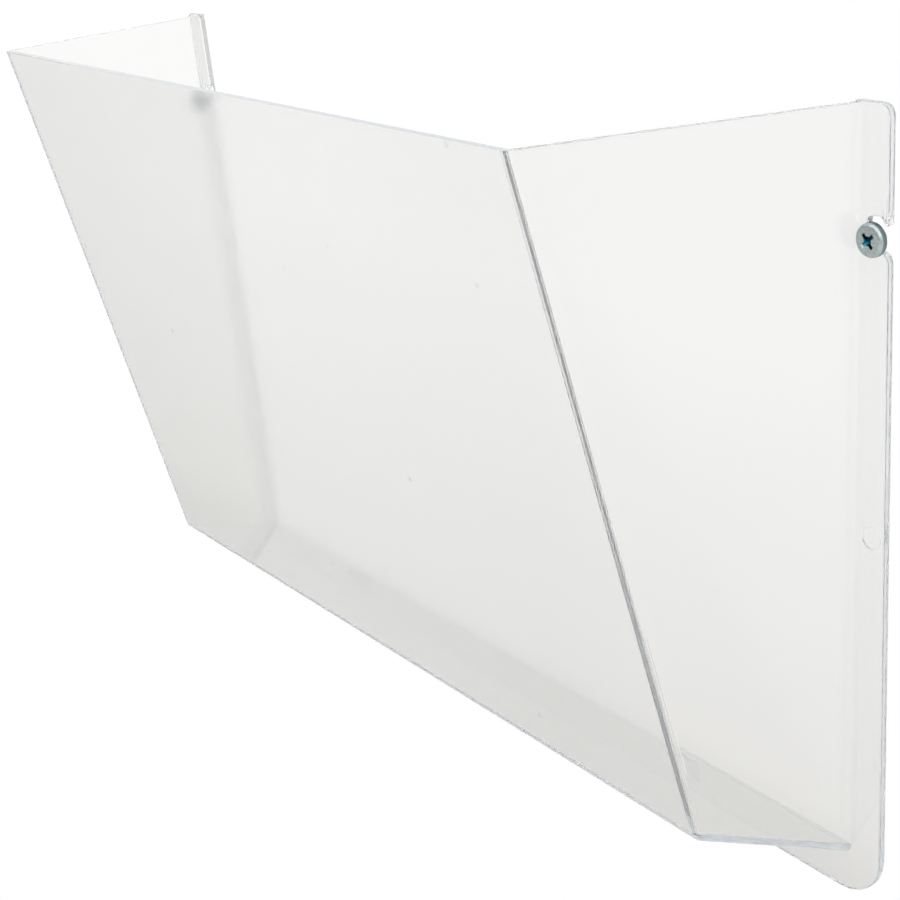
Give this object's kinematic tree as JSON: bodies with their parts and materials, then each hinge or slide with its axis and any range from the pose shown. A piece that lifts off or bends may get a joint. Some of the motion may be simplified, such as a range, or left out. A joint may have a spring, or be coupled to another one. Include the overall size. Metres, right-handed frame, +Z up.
{
  "type": "wall magazine rack",
  "caption": "Clear open-backed wall pocket for magazines, with hook notches in its side flanges, held by pan-head screws in wall anchors.",
  "frame": {"origin": "middle of the wall face of the lip under the pocket's floor, on the wall plane and the centre line", "axes": "+X to the right seen from the room, +Y into the wall, +Z up"},
  "size_m": [0.28, 0.1002, 0.1802],
  "materials": {
    "clear_plastic": "clear moulded plastic with a faint haze",
    "zinc_plate": "bright zinc plate",
    "anchor_plastic": "natural nylon"
  },
  "bodies": {
    "wall_anchors": {"left_anchor": "anchor_plastic", "right_anchor": "anchor_plastic"},
    "left_screw": {"left_screw": "zinc_plate"},
    "right_screw": {"right_screw": "zinc_plate"},
    "pocket": {"pocket": "clear_plastic"}
  },
  "joints": [
    {"name": "left_screw_turn", "type": "hinge", "parent": "wall_anchors", "child": "left_screw", "pos_m": [-0.13655, 0, 0.1475], "axis": [0, -1, 0], "continuous": true},
    {"name": "right_screw_turn", "type": "hinge", "parent": "wall_anchors", "child": "right_screw", "pos_m": [0.13655, 0, 0.1475], "axis": [0, -1, 0], "continuous": true},
    {"name": "pocket_drop", "type": "slide", "parent": "wall_anchors", "child": "pocket", "axis": [0, 0, -1], "range_m": [-0.0005, 0.0022]}
  ]
}
